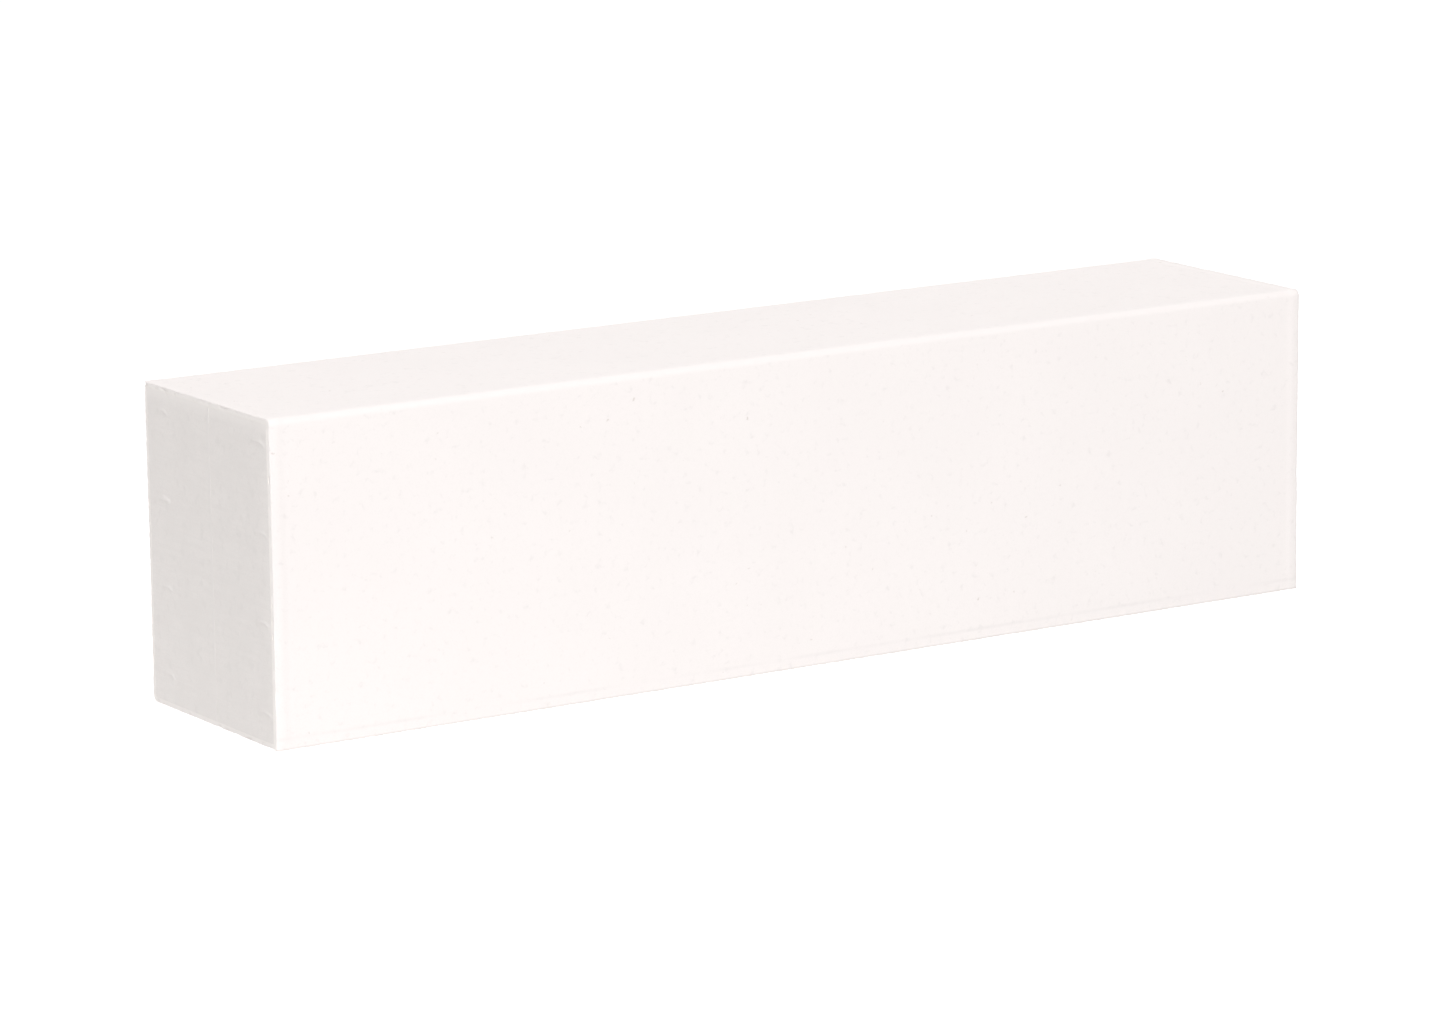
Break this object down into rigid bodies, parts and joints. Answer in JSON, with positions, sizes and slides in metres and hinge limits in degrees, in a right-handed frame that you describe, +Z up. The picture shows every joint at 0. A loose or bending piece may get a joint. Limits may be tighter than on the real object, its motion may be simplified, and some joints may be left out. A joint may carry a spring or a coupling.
{
  "type": "nail buffer block",
  "caption": "Rectangular nail buffer block: a two-ply foam core covered on its four long faces with white abrasive paper, bare foam at the cut ends.",
  "frame": {"origin": "middle of the bottom grit face, where the block stands", "axes": "+X along the block's length, -Y towards the front grit face, +Z up"},
  "size_m": [0.0954, 0.0194, 0.025],
  "materials": {
    "core_foam": "matte",
    "bond_glue": "satin",
    "sheet_glue": "satin",
    "backing_paper": "matte",
    "abrasive_coat": "matte"
  },
  "bodies": {
    "root": {"foam_core_front": "core_foam", "foam_core_rear": "core_foam", "core_bond_film": "bond_glue", "front_top_adhesive_film": "sheet_glue", "front_top_backing_paper": "backing_paper", "front_top_abrasive_coat": "abrasive_coat", "rear_bottom_adhesive_film": "sheet_glue", "rear_bottom_backing_paper": "backing_paper", "rear_bottom_abrasive_coat": "abrasive_coat"}
  },
  "joints": []
}
